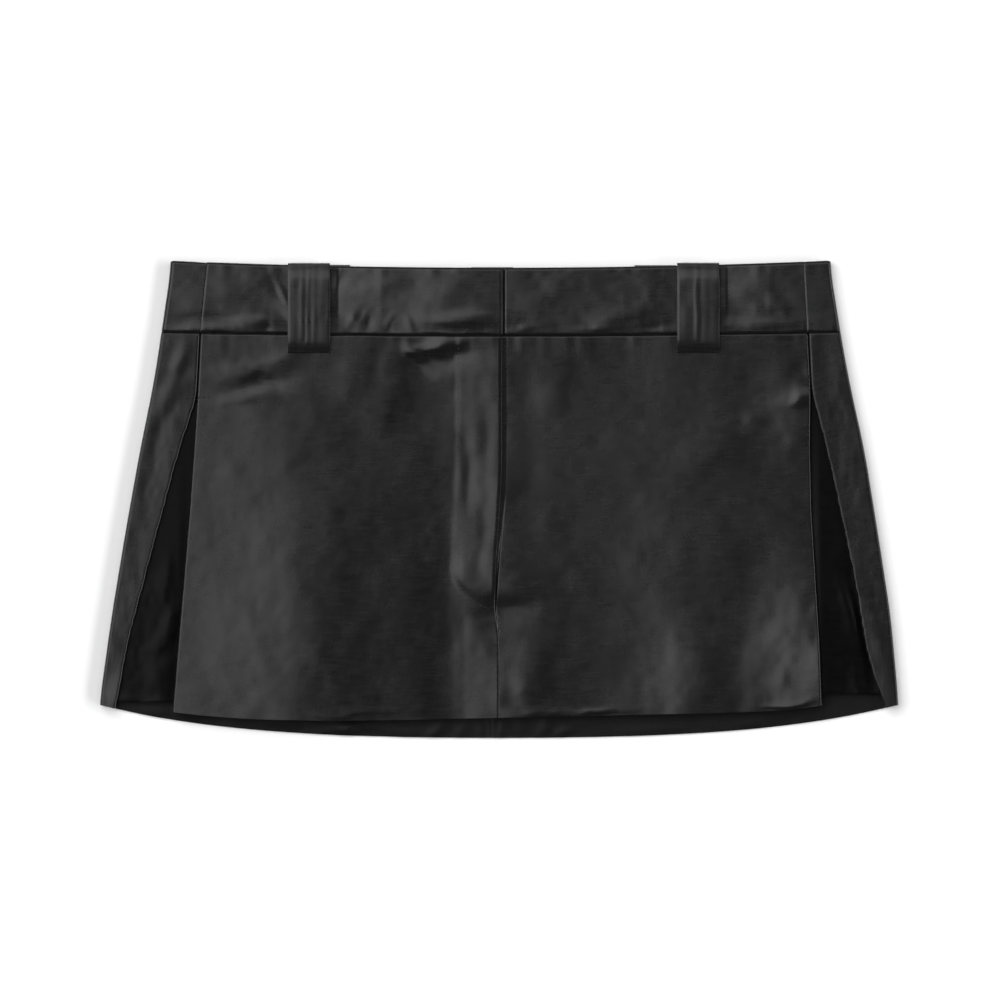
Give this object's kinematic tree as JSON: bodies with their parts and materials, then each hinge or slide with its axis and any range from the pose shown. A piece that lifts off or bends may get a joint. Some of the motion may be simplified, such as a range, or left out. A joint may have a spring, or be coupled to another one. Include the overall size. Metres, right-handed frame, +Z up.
{
  "type": "skort",
  "caption": "Low-rise micro skort laid flat, with a wide waistband, belt loops, a concealed fly and an open pleat at each side of the front.",
  "frame": {"origin": "under the middle of the garment's box, on the surface that it lies on", "axes": "+X across the body to the wearer's left, +Y to the waist, +Z up out of the front"},
  "size_m": [0.48, 0.2856, 0.0131],
  "materials": {
    "satin": "washed black satin, soft sheen, fine slubs",
    "waistband_satin": "washed black satin over a firm inner layer, crinkled at the seam",
    "loop_satin": "washed black satin folded to a flat strap",
    "shorts_crepe": "matte black crepe"
  },
  "bodies": {
    "root": {"front_right": "satin", "front_left": "satin", "back_right": "satin", "back_left": "satin", "pleat_underlay_right": "satin", "pleat_underlay_left": "satin", "fly_shield": "satin", "waistband_front_right": "waistband_satin", "waistband_front_left": "waistband_satin", "waistband_back": "waistband_satin", "belt_loop_front_right": "loop_satin", "belt_loop_front_left": "loop_satin", "belt_loop_back_right": "loop_satin", "belt_loop_back_centre": "loop_satin", "belt_loop_back_left": "loop_satin", "shorts_front_right": "shorts_crepe", "shorts_front_left": "shorts_crepe", "shorts_back_right": "shorts_crepe", "shorts_back_left": "shorts_crepe"}
  },
  "joints": []
}
